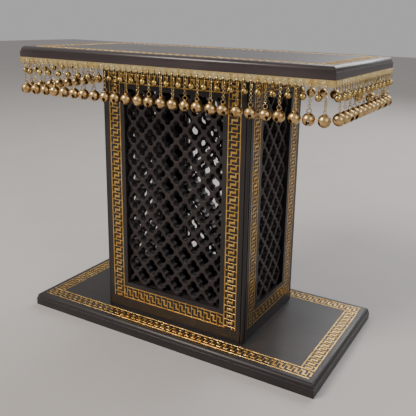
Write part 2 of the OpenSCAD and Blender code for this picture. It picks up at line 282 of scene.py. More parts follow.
def brassMaterial(name, deep, bright, roughLow, roughHigh, grit):
    # Brass: the colour wanders a little between polished and tarnished spots, and the roughness with it.
    material, tree = newMaterial(name)
    coords = addNode(tree, "ShaderNodeTexCoord").outputs["Object"]
    patch = addNode(tree, "ShaderNodeTexNoise", {"Vector": coords, "Scale": 120.0, "Detail": 4.0})
    fine = addNode(tree, "ShaderNodeTexNoise", {"Vector": coords, "Scale": grit, "Detail": 2.0})
    mixed = addNode(tree, "ShaderNodeMix", {0: 0.35, 2: patch, 3: fine}, data_type="FLOAT")
    tone = addNode(tree, "ShaderNodeMapRange", {0: mixed, 1: 0.35, 2: 0.65, 3: 0.0, 4: 1.0})
    color = addNode(tree, "ShaderNodeMix", {0: tone, 6: linearColor(deep), 7: linearColor(bright)},
                    data_type="RGBA")
    rough = addNode(tree, "ShaderNodeMapRange", {0: mixed, 1: 0.35, 2: 0.65, 3: roughHigh, 4: roughLow})
    bump = addNode(tree, "ShaderNodeBump", {"Height": fine, "Strength": 0.15, "Distance": 0.0001})
    shader = addNode(tree, "ShaderNodeBsdfPrincipled",
                     {"Base Color": color.outputs[2], "Roughness": rough, "Normal": bump, "Metallic": 1.0})
    addNode(tree, "ShaderNodeOutputMaterial", {"Surface": shader})
    return material


boardLacquer = lacquerMaterial("satin dark lacquer", "#2a2122", "#3d3233", (6.0, 260.0, 260.0))
# the foot and the uprights take darker copies of the top board's lacquer: painted shade
shadedFootLacquer = lacquerMaterial("satin dark lacquer on the foot, darkened as painted shade", "#171212", "#272021", (6.0, 260.0, 260.0),
                              0.38, 0.5, 0.1)
shadedUprightLacquer = lacquerMaterial("satin dark lacquer upright, darkened as painted shade", "#141010", "#221c1c", (260.0, 260.0, 6.0),
                              0.38, 0.5, 0.1)
# the carving takes a darker copy of the lacquer, painted shade of its openings; its higher roughness and
# missing coat are the finish's own
shadedCarvingLacquer = lacquerMaterial("satin lacquer on carving, darkened as painted shade", "#1a1312", "#2b201f", (160.0, 160.0, 160.0),
                                0.46, 0.62, 0.0)
inlayBrass = brassMaterial("polished brass inlay", "#a87a32", "#e4bd70", 0.24, 0.38, 1500.0)
# the key's dark ground: the board's dark lacquer, made blacker as painted shade of its recess
shadedKeyGround = lacquerMaterial("dark key ground under the brass, blackened as painted shade", "#0b0909", "#151212", (200.0, 200.0, 200.0),
                              0.34, 0.46, 0.1)
stripBrass = brassMaterial("pressed brass strip", "#cfae66", "#f5e4b4", 0.24, 0.38, 1800.0)
bellBrass = brassMaterial("brushed antique brass", "#a98450", "#e2c48e", 0.24, 0.40, 2200.0)
smallBrass = brassMaterial("bright small bell brass", "#97753c", "#dcc27f", 0.18, 0.32, 2200.0)
chainBrass = brassMaterial("polished chain wire", "#b29255", "#f0dca6", 0.16, 0.28, 2400.0)
blockWood = lacquerMaterial("dark stained softwood", "#1d1511", "#2f241c", (8.0, 300.0, 300.0))
screwSteel = brassMaterial("zinc plated steel", "#85888c", "#b4b7ba", 0.28, 0.42, 1800.0)
print("materials made")


# boards, posts and frames

def dressNode(name, material, softEdge):
    # a CAD node keeps its mesh; its loose triangles are welded and its edges softened by modifiers
    node = frame["nodes"][name]
    node.data.materials.clear()
    node.data.materials.append(material)
    if softEdge:
        weld = node.modifiers.new("weld", "WELD")
        weld.merge_threshold = 0.002 * mm
        bevel = node.modifiers.new("soft edges", "BEVEL")
        bevel.width = softEdge * mm
        bevel.segments = 2
        bevel.limit_method = "ANGLE"
        bevel.angle_limit = math.radians(30)
        bevel.harden_normals = True


lacquered = [n["node"] for n in frame["record"]["subparts"] if n["material_slot"] == "dark_lacquer"]
for name in lacquered:
    if name.startswith("screen_"):
        continue
    board = name.endswith("_board")
    levelRail = "_rail_" in name
    # the top boards take the board lacquer; the foot, its level rails and the uprights take the darker copies,
    # painted shade
    finish = boardLacquer if name.startswith("top_") else shadedFootLacquer if board or levelRail else shadedUprightLacquer
    dressNode(name, finish, 0.35 if board else 0)
for name in ("base_blocks", "top_blocks"):
    dressNode(name, blockWood, 0)
for name in ("base_screws", "top_screws"):
    dressNode(name, screwSteel, 0)
dressNode("strip_pins", smallBrass, 0)
print("boards, posts and frames dressed")


# key bands

keyBand = {
    "rail": 1.25,       # mm, gold line along each edge
    "cell": 8.4,       # one turn of the key
    "rung": 0.8,       # thin gold line between two cells
    "sideBar": 2.8,    # dark bar inside each rail
    "prong": 1.3,      # arms of the gold hook
    "crossBar": 2.3,   # middle of the gold hook
    "softEdge": 0.1,
    "relief": 0.22,    # height of the brass above the black ground
}

keyTree, size = newTree("key band", {
    "Length": "NodeSocketFloat", "Width": "NodeSocketFloat", "Depth": "NodeSocketFloat",
    "Rail": "NodeSocketFloat", "Cell": "NodeSocketFloat", "Rung": "NodeSocketFloat",
    "Side Bar": "NodeSocketFloat", "Prong": "NodeSocketFloat", "Cross Bar": "NodeSocketFloat",
    "Cells": "NodeSocketInt", "Phase": "NodeSocketFloat", "Material": "NodeSocketMaterial"})
halfWidth = addNode(keyTree, "ShaderNodeMath", {0: size["Width"], 1: 0.5}, operation="MULTIPLY")
inner = addNode(keyTree, "ShaderNodeMath", {0: halfWidth, 1: size["Rail"]}, operation="SUBTRACT")
gapLength = addNode(keyTree, "ShaderNodeMath", {0: size["Cell"], 1: size["Rung"]}, operation="SUBTRACT")
reachX = addNode(keyTree, "ShaderNodeMath", {0: gapLength, 1: 0.5}, operation="MULTIPLY")
backX = addNode(keyTree, "ShaderNodeMath", {0: reachX, 1: -1.0}, operation="MULTIPLY")
midX = addNode(keyTree, "ShaderNodeMath", {0: size["Cross Bar"], 1: 0.5}, operation="MULTIPLY")
armY = addNode(keyTree, "ShaderNodeMath", {0: inner, 1: size["Side Bar"]}, operation="SUBTRACT")
tipY = addNode(keyTree, "ShaderNodeMath", {0: size["Prong"], 1: armY}, operation="SUBTRACT")
hook = addNode(keyTree, "GeometryNodeIndexSwitch", {"Index": addNode(keyTree, "GeometryNodeInputIndex")},
               data_type="VECTOR")
while len(hook.index_switch_items) < 6:
    hook.index_switch_items.new()
corners = [(backX, inner), (reachX, inner), (reachX, tipY), (midX, tipY), (midX, armY), (backX, armY)]
for number, (x, y) in enumerate(corners):
    keyTree.links.new(addNode(keyTree, "ShaderNodeCombineXYZ", {0: x, 1: y}).outputs[0],
                      hook.inputs[number + 1])
ring = addNode(keyTree, "GeometryNodeMeshCircle", {"Vertices": 6})
outline = addNode(keyTree, "GeometryNodeMeshToCurve", {
    0: addNode(keyTree, "GeometryNodeSetPosition", {"Geometry": ring, "Position": hook})})
turned = addNode(keyTree, "GeometryNodeTransform", {"Geometry": outline, "Rotation": (0, 0, math.pi)})
pair = addNode(keyTree, "GeometryNodeJoinGeometry", {0: outline})
keyTree.links.new(turned.outputs[0], pair.inputs[0])
step = addNode(keyTree, "ShaderNodeCombineXYZ", {0: size["Cell"]})
lastCell = addNode(keyTree, "ShaderNodeMath", {0: size["Cells"], 1: 1.0}, operation="SUBTRACT")
firstX = addNode(keyTree, "ShaderNodeMath", {0: lastCell, 1: -0.5, 2: size["Phase"]},
                 operation="MULTIPLY_ADD")
startX = addNode(keyTree, "ShaderNodeMath", {0: firstX, 1: size["Cell"]}, operation="MULTIPLY")
places = addNode(keyTree, "GeometryNodeMeshLine", {
    "Count": size["Cells"], "Start Location": addNode(keyTree, "ShaderNodeCombineXYZ", {0: startX}),
    "Offset": step}, mode="OFFSET")
holes = addNode(keyTree, "GeometryNodeRealizeInstances", {
    0: addNode(keyTree, "GeometryNodeInstanceOnPoints", {"Points": places, "Instance": pair})})
longer = addNode(keyTree, "ShaderNodeMath", {0: size["Cell"], 1: 4.0, 2: size["Length"]},
                 operation="MULTIPLY_ADD")
edge = addNode(keyTree, "GeometryNodeCurvePrimitiveQuadrilateral", {"Width": longer, "Height": size["Width"]})
lines = addNode(keyTree, "GeometryNodeJoinGeometry", {0: holes})
keyTree.links.new(edge.outputs[0], lines.inputs[0])
sheet = addNode(keyTree, "GeometryNodeFillCurve", {0: lines})
sunk = addNode(keyTree, "GeometryNodeTransform", {
    "Geometry": sheet, "Translation": addNode(keyTree, "ShaderNodeCombineXYZ", {
        2: addNode(keyTree, "ShaderNodeMath", {0: size["Depth"], 1: -1.0}, operation="MULTIPLY")})})
raised = addNode(keyTree, "GeometryNodeExtrudeMesh", {
    "Mesh": sunk, "Offset Scale": size["Depth"], "Individual": False}, mode="FACES")
solid = addNode(keyTree, "GeometryNodeJoinGeometry", {0: raised})
keyTree.links.new(addNode(keyTree, "GeometryNodeFlipFaces", {0: sunk}).outputs[0], solid.inputs[0])
closed = addNode(keyTree, "GeometryNodeMergeByDistance", {"Geometry": solid, "Distance": 0.005 * mm})
finishTree(keyTree, closed, size["Material"])


def keyStrip(length, width, depth, phase):
    # one straight length of band along X, its face on z = 0, cut off square at both ends
    cells = 2 * (int(length / (keyBand["cell"] * mm)) // 2) + 3
    mesh = grow(keyTree, {
        "Length": length, "Width": width, "Depth": keyBand["relief"] * mm, "Rail": keyBand["rail"] * mm,
        "Cell": keyBand["cell"] * mm, "Rung": keyBand["rung"] * mm, "Side Bar": keyBand["sideBar"] * mm,
        "Prong": keyBand["prong"] * mm, "Cross Bar": keyBand["crossBar"] * mm, "Cells": cells,
        "Phase": phase, "Material": inlayBrass})
    trimMesh(mesh, [((length / 2, 0, 0), (1, 0, 0)), ((-length / 2, 0, 0), (-1, 0, 0))],
             keyBand["softEdge"] * mm)
    # the dark ground under the brass fills the rest of the groove; it is the board's dark lacquer made blacker,
    # painted shade of the recess
    tall = depth - keyBand["relief"] * mm
    block = bmesh.new()
    block.from_mesh(mesh)
    place = Matrix.Translation((0, 0, tall / 2 - depth)) @ Matrix.Diagonal((length, width, tall, 1))
    ground = bmesh.ops.create_cube(block, size=1, matrix=place)
    for face in {f for v in ground["verts"] for f in v.link_faces}:
        face.material_index = 1
    block.to_mesh(mesh)
    block.free()
    mesh.materials.append(shadedKeyGround)
    return mesh


def keyPhase(number):
    return (0.31 * number) % 1.0 - 0.5  # each band starts at another place of the pattern


widthLow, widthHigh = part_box("base_key_front")
bandWidth = widthHigh[1] - widthLow[1]
for number, side in enumerate(sides):
    for boardNumber, board in enumerate(("base", "top")):
        node = board + "_key_" + side
        low, high = sideBox(node, side)
        band = keyStrip(high.x - low.x, high.y - low.y, high.z - low.z, keyPhase(number + 4 * boardNumber))
        place = Matrix.Translation(((low.x + high.x) / 2, (low.y + high.y) / 2, high.z))
        mesh = joinMeshes(board + "Key" + side.capitalize(), [(band, sideTurn(side) @ place)])
        makePiece(mesh.name, mesh, "stand", "brass_inlay", node)

    node = "pedestal_key_" + side
    low, high = sideBox(node, side)
    width = bandWidth
    tall, wide, depth = high.z - low.z, high.x - low.x, high.y - low.y
    upright = Matrix.Rotation(math.radians(90), 4, "X") @ Matrix.Rotation(math.radians(90), 4, "Z")
    lying = Matrix.Rotation(math.radians(90), 4, "X")
    parts = []
    for across in (-1, 1):
        place = Matrix.Translation((across * (wide - width) / 2, low.y, (low.z + high.z) / 2))
        parts.append((keyStrip(tall, width, depth, keyPhase(number + 2 + across)),
                      sideTurn(side) @ place @ upright))
        place = Matrix.Translation((0, low.y, (low.z + high.z) / 2 + across * (tall - width) / 2))
        parts.append((keyStrip(wide - 2 * width, width, depth, keyPhase(number + 5 + across)),
                      sideTurn(side) @ place @ lying))
    mesh = joinMeshes("pedestalKey" + side.capitalize(), parts)
    makePiece(mesh.name, mesh, "stand", "brass_inlay", node)
print("key bands made")


# carved screens

carving = {
    "halfWidth": 11.6,     # mm, half of one diamond of the pattern
    "shiftWide": 3.9,      # sideways shift on the front and back
    "shiftNarrow": 0.0,
    "rows": 18, "spareRows": 5, "rowsBelow": 2,   # half diamonds in the window, and those cut away again
    "sideLobe": 4.3, "sideLobeOut": 3.6,     # radius and distance from the middle
    "upperLobe": 3.7, "upperLobeOut": 5.6,
    "round": 1.1,          # depth of the rounding of each rib
    "roundShare": 0.34,    # part of a rib's half width that is rounded; the rest is flat
    "around": 40, "steps": 7,   # faces round an opening and across a rib
    "tongue": 3.9, "tongueInset": 1.0, "gap": 0.06,   # tongue thickness, and the room round it
}

screenTree, size = newTree("carved screen", {
    "Half Width": "NodeSocketFloat", "Half Height": "NodeSocketFloat", "Thickness": "NodeSocketFloat",
    "Side Lobe": "NodeSocketFloat", "Side Lobe Out": "NodeSocketFloat",
    "Upper Lobe": "NodeSocketFloat", "Upper Lobe Out": "NodeSocketFloat",
    "Round": "NodeSocketFloat", "Round Share": "NodeSocketFloat", "Around": "NodeSocketInt",
    "Steps": "NodeSocketInt",
    "Columns": "NodeSocketInt", "Rows": "NodeSocketInt", "Shift": "NodeSocketFloat",
    "Low": "NodeSocketFloat", "Front": "NodeSocketFloat", "Material": "NodeSocketMaterial"})


def lobeReach(along, across, radius, out):
    # how far the edge of a round lobe is from the middle of its opening, seen along one direction
    outSquare = addNode(screenTree, "ShaderNodeMath", {0: out, 1: out}, operation="MULTIPLY")
    acrossSquare = addNode(screenTree, "ShaderNodeMath", {0: across, 1: across}, operation="MULTIPLY")
    spread = addNode(screenTree, "ShaderNodeMath", {0: outSquare, 1: acrossSquare}, operation="MULTIPLY")
    radiusSquare = addNode(screenTree, "ShaderNodeMath", {0: radius, 1: radius}, operation="MULTIPLY")
    rest = addNode(screenTree, "ShaderNodeMath", {0: radiusSquare, 1: spread}, operation="SUBTRACT")
    inside = addNode(screenTree, "ShaderNodeMath", {0: rest, 1: 0.0}, operation="GREATER_THAN")
    safe = addNode(screenTree, "ShaderNodeMath", {0: rest, 1: 0.0}, operation="MAXIMUM")
    root = addNode(screenTree, "ShaderNodeMath", {0: safe}, operation="SQRT")
    edge = addNode(screenTree, "ShaderNodeMath", {0: out, 1: along, 2: root}, operation="MULTIPLY_ADD")
    return addNode(screenTree, "ShaderNodeMath", {0: edge, 1: inside}, operation="MULTIPLY")


def cuspAngle():
    # direction in which the side lobe and the upper lobe meet
    a, ra = carving["sideLobeOut"], carving["sideLobe"]
    b, rb = carving["upperLobeOut"], carving["upperLobe"]
    slope, lift = a / b, (b * b - rb * rb - a * a + ra * ra) / (2 * b)
    p, q, r = 1 + slope * slope, 2 * slope * lift - 2 * a, lift * lift + a * a - ra * ra
    x = (-q + math.sqrt(q * q - 4 * p * r)) / (2 * p)
    return math.atan2(slope * x + lift, x)


# one diamond: a grid bent round the opening, from the back, up its wall and over the rounded rib
aroundPoints = addNode(screenTree, "ShaderNodeMath", {0: size["Around"], 1: 1.0}, operation="ADD")
rowPoints = addNode(screenTree, "ShaderNodeMath", {0: size["Steps"], 1: 2.0}, operation="ADD")
patch = addNode(screenTree, "GeometryNodeMeshGrid", {
    "Size X": 1.0, "Size Y": 1.0, "Vertices X": aroundPoints, "Vertices Y": rowPoints})
spot = addNode(screenTree, "ShaderNodeSeparateXYZ", {0: addNode(screenTree, "GeometryNodeInputPosition")})
lap = addNode(screenTree, "ShaderNodeMath", {0: spot.outputs[0], 1: 0.5}, operation="ADD")
quarter = addNode(screenTree, "ShaderNodeMath", {0: lap, 1: 4.0}, operation="MULTIPLY")
fold = addNode(screenTree, "ShaderNodeMath", {0: quarter, 1: 1.0}, operation="PINGPONG")
cusp = cuspAngle()
firstPart = addNode(screenTree, "ShaderNodeMapRange", {0: fold, 1: 0.0, 2: 0.5, 3: 0.0, 4: cusp})
lastPart = addNode(screenTree, "ShaderNodeMapRange", {0: fold, 1: 0.5, 2: 1.0, 3: 0.0, 4: math.pi / 2 - cusp})
angle = addNode(screenTree, "ShaderNodeMath", {0: firstPart, 1: lastPart}, operation="ADD")
cosine = addNode(screenTree, "ShaderNodeMath", {0: angle}, operation="COSINE")
sine = addNode(screenTree, "ShaderNodeMath", {0: angle}, operation="SINE")
wholeTurn = addNode(screenTree, "ShaderNodeMath", {0: lap, 1: 2 * math.pi}, operation="MULTIPLY")
signX = addNode(screenTree, "ShaderNodeMath", {
    0: addNode(screenTree, "ShaderNodeMath", {0: wholeTurn}, operation="COSINE")}, operation="SIGN")
signZ = addNode(screenTree, "ShaderNodeMath", {
    0: addNode(screenTree, "ShaderNodeMath", {0: wholeTurn}, operation="SINE")}, operation="SIGN")
openEdge = addNode(screenTree, "ShaderNodeMath", {
    0: lobeReach(cosine, sine, size["Side Lobe"], size["Side Lobe Out"]),
    1: lobeReach(sine, cosine, size["Upper Lobe"], size["Upper Lobe Out"])}, operation="MAXIMUM")
unfold = addNode(screenTree, "ShaderNodeMath", {0: 1.0, 1: fold}, operation="SUBTRACT")
outerX = addNode(screenTree, "ShaderNodeMath", {0: unfold, 1: size["Half Width"]}, operation="MULTIPLY")
outerZ = addNode(screenTree, "ShaderNodeMath", {0: fold, 1: size["Half Height"]}, operation="MULTIPLY")
innerX = addNode(screenTree, "ShaderNodeMath", {0: openEdge, 1: cosine}, operation="MULTIPLY")
innerZ = addNode(screenTree, "ShaderNodeMath", {0: openEdge, 1: sine}, operation="MULTIPLY")
# rows: 0 is the back at the diamond's edge, 1 the back at the opening, and the rest go over the rib
rowShare = addNode(screenTree, "ShaderNodeMath", {0: spot.outputs[1], 1: 0.5}, operation="ADD")
lastRow = addNode(screenTree, "ShaderNodeMath", {0: rowPoints, 1: 1.0}, operation="SUBTRACT")
row = addNode(screenTree, "ShaderNodeMath", {0: rowShare, 1: lastRow}, operation="MULTIPLY")
flatRow = addNode(screenTree, "ShaderNodeMath", {0: lastRow, 1: 1.0}, operation="SUBTRACT")
overRib = addNode(screenTree, "ShaderNodeMapRange", {0: row, 1: 2.0, 2: flatRow, 3: 0.0, 4: math.pi / 2})
isMiddle = addNode(screenTree, "ShaderNodeMath", {
    0: row, 1: addNode(screenTree, "ShaderNodeMath", {0: lastRow, 1: 0.5}, operation="SUBTRACT")},
    operation="GREATER_THAN")
isBack = addNode(screenTree, "ShaderNodeMath", {0: row, 1: 1.5}, operation="LESS_THAN")
isOuterBack = addNode(screenTree, "ShaderNodeMath", {0: row, 1: 0.5}, operation="LESS_THAN")
ribCosine = addNode(screenTree, "ShaderNodeMath", {0: overRib}, operation="COSINE")
ribSine = addNode(screenTree, "ShaderNodeMath", {0: overRib}, operation="SINE")
ribShare = addNode(screenTree, "ShaderNodeMath", {0: 1.0, 1: ribCosine}, operation="SUBTRACT")
roundPart = addNode(screenTree, "ShaderNodeMath", {0: ribShare, 1: size["Round Share"]}, operation="MULTIPLY")
onEdge = addNode(screenTree, "ShaderNodeMath", {0: isMiddle, 1: isOuterBack}, operation="MAXIMUM")
share = addNode(screenTree, "ShaderNodeMath", {0: roundPart, 1: onEdge}, operation="MAXIMUM")
dip = addNode(screenTree, "ShaderNodeMath", {0: 1.0, 1: ribSine}, operation="SUBTRACT")
frontDepth = addNode(screenTree, "ShaderNodeMath", {0: dip, 1: size["Round"]}, operation="MULTIPLY")
depth = addNode(screenTree, "ShaderNodeMix", {0: isBack, 2: frontDepth, 3: size["Thickness"]},
                data_type="FLOAT")
flatX = addNode(screenTree, "ShaderNodeMix", {0: share, 2: innerX, 3: outerX}, data_type="FLOAT")
flatZ = addNode(screenTree, "ShaderNodeMix", {0: share, 2: innerZ, 3: outerZ}, data_type="FLOAT")
bent = addNode(screenTree, "ShaderNodeCombineXYZ", {
    0: addNode(screenTree, "ShaderNodeMath", {0: flatX, 1: signX}, operation="MULTIPLY"),
    1: depth,
    2: addNode(screenTree, "ShaderNodeMath", {0: flatZ, 1: signZ}, operation="MULTIPLY")})
cell = addNode(screenTree, "GeometryNodeSetPosition", {"Geometry": patch, "Position": bent})

# the diamonds' middles: every second point of a grid
gaps = [addNode(screenTree, "ShaderNodeMath", {0: size[k], 1: 1.0}, operation="SUBTRACT")
        for k in ("Columns", "Rows")]
gridWide = addNode(screenTree, "ShaderNodeMath", {0: gaps[0], 1: size["Half Width"]}, operation="MULTIPLY")
gridTall = addNode(screenTree, "ShaderNodeMath", {0: gaps[1], 1: size["Half Height"]}, operation="MULTIPLY")
grid = addNode(screenTree, "GeometryNodeMeshGrid", {
    "Size X": gridWide, "Size Y": gridTall, "Vertices X": size["Columns"], "Vertices Y": size["Rows"]})
point = addNode(screenTree, "ShaderNodeSeparateXYZ", {0: addNode(screenTree, "GeometryNodeInputPosition")})
column = addNode(screenTree, "ShaderNodeMath", {0: point.outputs[0], 1: size["Half Width"]},
                 operation="DIVIDE")
rowUp = addNode(screenTree, "ShaderNodeMath", {0: gridTall, 1: 0.5, 2: point.outputs[1]},
                operation="MULTIPLY_ADD")
rank = addNode(screenTree, "ShaderNodeMath", {0: rowUp, 1: size["Half Height"]}, operation="DIVIDE")
both = addNode(screenTree, "ShaderNodeMath", {0: column, 1: rank}, operation="ADD")
odd = addNode(screenTree, "ShaderNodeMath", {
    0: addNode(screenTree, "ShaderNodeMath", {0: both}, operation="ROUND"), 1: 2.0}, operation="FLOORED_MODULO")
isEven = addNode(screenTree, "ShaderNodeMath", {0: odd, 1: 0.5}, operation="LESS_THAN")
kept = addNode(screenTree, "GeometryNodeDeleteGeometry", {"Geometry": grid, "Selection": isEven},
               domain="POINT")
middle = addNode(screenTree, "ShaderNodeCombineXYZ", {
    0: addNode(screenTree, "ShaderNodeMath", {0: point.outputs[0], 1: size["Shift"]}, operation="ADD"),
    1: size["Front"],
    2: addNode(screenTree, "ShaderNodeMath", {0: rowUp, 1: size["Low"]}, operation="ADD")})
moved = addNode(screenTree, "GeometryNodeSetPosition", {"Geometry": kept, "Position": middle})
diamonds = addNode(screenTree, "GeometryNodeInstanceOnPoints", {"Points": moved, "Instance": cell})
finishTree(screenTree, diamonds, size["Material"])


def carvedScreen(side):
    low, high = sideBox("screen_" + side, side)
    windowLow, windowHigh = (sideBox(side + "_rail_" + end, side)[index].z
                             for end, index in (("bottom", 1), ("top", 0)))
    wide = high.x > 0.05
    halfHeight = (windowHigh - windowLow) / carving["rows"]
    tongue = windowLow - low.z
    columns = 2 * (int(high.x / (carving["halfWidth"] * mm)) + 2) + 1
    mesh = grow(screenTree, {
        "Half Width": carving["halfWidth"] * mm, "Half Height": halfHeight,
        "Thickness": high.y - low.y, "Side Lobe": carving["sideLobe"] * mm,
        "Side Lobe Out": carving["sideLobeOut"] * mm, "Upper Lobe": carving["upperLobe"] * mm,
        "Upper Lobe Out": carving["upperLobeOut"] * mm, "Round": carving["round"] * mm,
        "Round Share": carving["roundShare"],
        "Around": carving["around"], "Steps": carving["steps"], "Columns": columns,
        "Rows": carving["rows"] + carving["spareRows"],
        "Shift": carving["shiftWide" if wide else "shiftNarrow"] * mm,
        "Low": windowLow - carving["rowsBelow"] * halfHeight, "Front": low.y, "Material": shadedCarvingLacquer})
    gap = carving["gap"] * mm
    window = high.x - tongue - gap
    trimMesh(mesh, [((window, 0, 0), (1, 0, 0)), ((-window, 0, 0), (-1, 0, 0)),
                    ((0, 0, windowHigh - gap), (0, 0, 1)), ((0, 0, windowLow + gap), (0, 0, -1))])
    mesh.shade_smooth()
    mesh.set_sharp_from_angle(angle=math.radians(42))
    return mesh, tongueRing(low, high, tongue - carving["tongueInset"] * mm)


def tongueRing(low, high, width):
    # the flat tongue that sits in the grooves of the stiles and rails
    ring = bmesh.new()
    corners = []
    for y in (low.y, low.y + carving["tongue"] * mm):
        for inset in (0, width):
            corners.append([ring.verts.new((x, y, z)) for x, z in (
                (low.x + inset, low.z + inset), (high.x - inset, low.z + inset),
                (high.x - inset, high.z - inset), (low.x + inset, high.z - inset))])
    for first, second in ((0, 1), (1, 3), (3, 2), (2, 0)):
        for i in range(4):
            j = (i + 1) % 4
            ring.faces.new((corners[first][i], corners[first][j], corners[second][j], corners[second][i]))
    bmesh.ops.recalc_face_normals(ring, faces=ring.faces)
    mesh = bpy.data.meshes.new("tongue")
    ring.to_mesh(mesh)
    ring.free()
    return mesh


for side in sides:
    parts = [(mesh, sideTurn(side)) for mesh in carvedScreen(side)]
    mesh = joinMeshes("screen" + side.capitalize(), parts)
    makePiece(mesh.name, mesh, "stand", "dark_lacquer", "screen_" + side)
print("carved screens made")


# brass strips

strip = {
    "pitch": 7.3,      # mm, hole to hole
    "gap": 1.4,        # from a hole's middle to the next leaf
    "leaf": 1.9,       # how far the leaves hang below the bar
    "hole": 0.75,      # radius
    "medalRing": 1.45, "medalBoss": 0.7, "medalDown": 2.5,   # radii, and the distance below the top edge
    "rib": 0.42, "ribApart": 1.0, "ribLow": 3.7,             # the pair of bars above each hole
    "bead": 0.3,
    "holeUp": 1.2,     # from the bar's lower edge
}

stripTree, size = newTree("pressed strip", {
    "Units": "NodeSocketInt", "Pitch": "NodeSocketFloat", "End": "NodeSocketFloat", "Gap": "NodeSocketFloat",
    "Leaf": "NodeSocketFloat", "Height": "NodeSocketFloat", "Thickness": "NodeSocketFloat",
    "Hole": "NodeSocketFloat", "Hole Up": "NodeSocketFloat", "Medal Ring": "NodeSocketFloat",
    "Medal Boss": "NodeSocketFloat", "Medal Down": "NodeSocketFloat", "Rib": "NodeSocketFloat",
    "Rib Apart": "NodeSocketFloat", "Rib Low": "NodeSocketFloat", "Bead": "NodeSocketFloat",
    "Material": "NodeSocketMaterial"})
# outline in X and Y, leaf tips on Y = 0: five points for each leaf and the hollow beside it, then the ends
number = addNode(stripTree, "GeometryNodeInputIndex")
unitHalf = addNode(stripTree, "ShaderNodeMath", {0: size["Units"], 1: 0.5}, operation="MULTIPLY")
middleX = addNode(stripTree, "ShaderNodeMath", {0: unitHalf, 1: size["Pitch"]}, operation="MULTIPLY")
unit = addNode(stripTree, "ShaderNodeMath", {
    0: addNode(stripTree, "ShaderNodeMath", {0: number, 1: 5.0}, operation="DIVIDE")}, operation="FLOOR")
inUnit = addNode(stripTree, "ShaderNodeMath", {0: number, 1: 5.0}, operation="MODULO")
unitX = addNode(stripTree, "ShaderNodeMath", {0: unit, 1: size["Pitch"]}, operation="MULTIPLY")
leftX = addNode(stripTree, "ShaderNodeMath", {0: unitX, 1: middleX}, operation="SUBTRACT")
halfPitch = addNode(stripTree, "ShaderNodeMath", {0: size["Pitch"], 1: 0.5}, operation="MULTIPLY")
bulge = addNode(stripTree, "ShaderNodeMath", {0: halfPitch, 1: 0.3, 2: size["Gap"]}, operation="MULTIPLY_ADD")
bulgeUp = addNode(stripTree, "ShaderNodeMath", {0: size["Leaf"], 1: 0.35}, operation="MULTIPLY")
farBulge = addNode(stripTree, "ShaderNodeMath", {0: size["Pitch"], 1: bulge}, operation="SUBTRACT")
farGap = addNode(stripTree, "ShaderNodeMath", {0: size["Pitch"], 1: size["Gap"]}, operation="SUBTRACT")
outlinePoint = addNode(stripTree, "GeometryNodeIndexSwitch", {"Index": inUnit}, data_type="VECTOR")
while len(outlinePoint.index_switch_items) < 5:
    outlinePoint.index_switch_items.new()
for place, (x, y) in enumerate([(size["Gap"], size["Leaf"]), (bulge, bulgeUp), (halfPitch, 0.0),
                                (farBulge, bulgeUp), (farGap, size["Leaf"])]):
    x = addNode(stripTree, "ShaderNodeMath", {0: leftX, 1: x}, operation="ADD")
    stripTree.links.new(addNode(stripTree, "ShaderNodeCombineXYZ", {0: x, 1: y}).outputs[0],
                        outlinePoint.inputs[place + 1])
leafPoints = addNode(stripTree, "ShaderNodeMath", {0: size["Units"], 1: 5.0}, operation="MULTIPLY")
endNumber = addNode(stripTree, "ShaderNodeMath", {0: number, 1: leafPoints}, operation="SUBTRACT")
minusEnd = addNode(stripTree, "ShaderNodeMath", {0: size["End"], 1: -1.0}, operation="MULTIPLY")
endPoint = addNode(stripTree, "GeometryNodeIndexSwitch", {"Index": endNumber}, data_type="VECTOR")
while len(endPoint.index_switch_items) < 4:
    endPoint.index_switch_items.new()
for place, (x, y) in enumerate([(size["End"], size["Leaf"]), (size["End"], size["Height"]),
                                (minusEnd, size["Height"]), (minusEnd, size["Leaf"])]):
    stripTree.links.new(addNode(stripTree, "ShaderNodeCombineXYZ", {0: x, 1: y}).outputs[0],
                        endPoint.inputs[place + 1])
isEnd = addNode(stripTree, "ShaderNodeMath", {0: endNumber, 1: -0.5}, operation="GREATER_THAN")
outlineAt = addNode(stripTree, "ShaderNodeMix", {0: isEnd, 4: outlinePoint, 5: endPoint}, data_type="VECTOR")
allPoints = addNode(stripTree, "ShaderNodeMath", {0: leafPoints, 1: 4.0}, operation="ADD")
loop = addNode(stripTree, "GeometryNodeMeshCircle", {"Vertices": allPoints})
outline = addNode(stripTree, "GeometryNodeMeshToCurve", {0: addNode(stripTree, "GeometryNodeSetPosition", {
    "Geometry": loop, "Position": outlineAt.outputs[1]})})
holeCount = addNode(stripTree, "ShaderNodeMath", {0: size["Units"], 1: 1.0}, operation="SUBTRACT")
firstHole = addNode(stripTree, "ShaderNodeMath", {0: size["Pitch"], 1: middleX}, operation="SUBTRACT")
step = addNode(stripTree, "ShaderNodeCombineXYZ", {0: size["Pitch"]})
holeLine = addNode(stripTree, "GeometryNodeMeshLine", {
    "Count": holeCount, "Offset": step,
    "Start Location": addNode(stripTree, "ShaderNodeCombineXYZ", {0: firstHole, 1: size["Hole Up"]})},
    mode="OFFSET")
rim = addNode(stripTree, "GeometryNodeCurvePrimitiveCircle", {"Resolution": 10, "Radius": size["Hole"]})
holes = addNode(stripTree, "GeometryNodeRealizeInstances", {0: addNode(
    stripTree, "GeometryNodeInstanceOnPoints", {"Points": holeLine, "Instance": rim})})
lines = addNode(stripTree, "GeometryNodeJoinGeometry", {0: outline})
stripTree.links.new(holes.outputs[0], lines.inputs[0])
sheet = addNode(stripTree, "GeometryNodeFillCurve", {0: lines})
raised = addNode(stripTree, "GeometryNodeExtrudeMesh", {
    "Mesh": sheet, "Offset Scale": size["Thickness"], "Individual": False}, mode="FACES")
plate = addNode(stripTree, "GeometryNodeJoinGeometry", {0: raised})
stripTree.links.new(addNode(stripTree, "GeometryNodeFlipFaces", {0: sheet}).outputs[0], plate.inputs[0])
closed = addNode(stripTree, "GeometryNodeMergeByDistance", {"Geometry": plate, "Distance": 0.005 * mm})
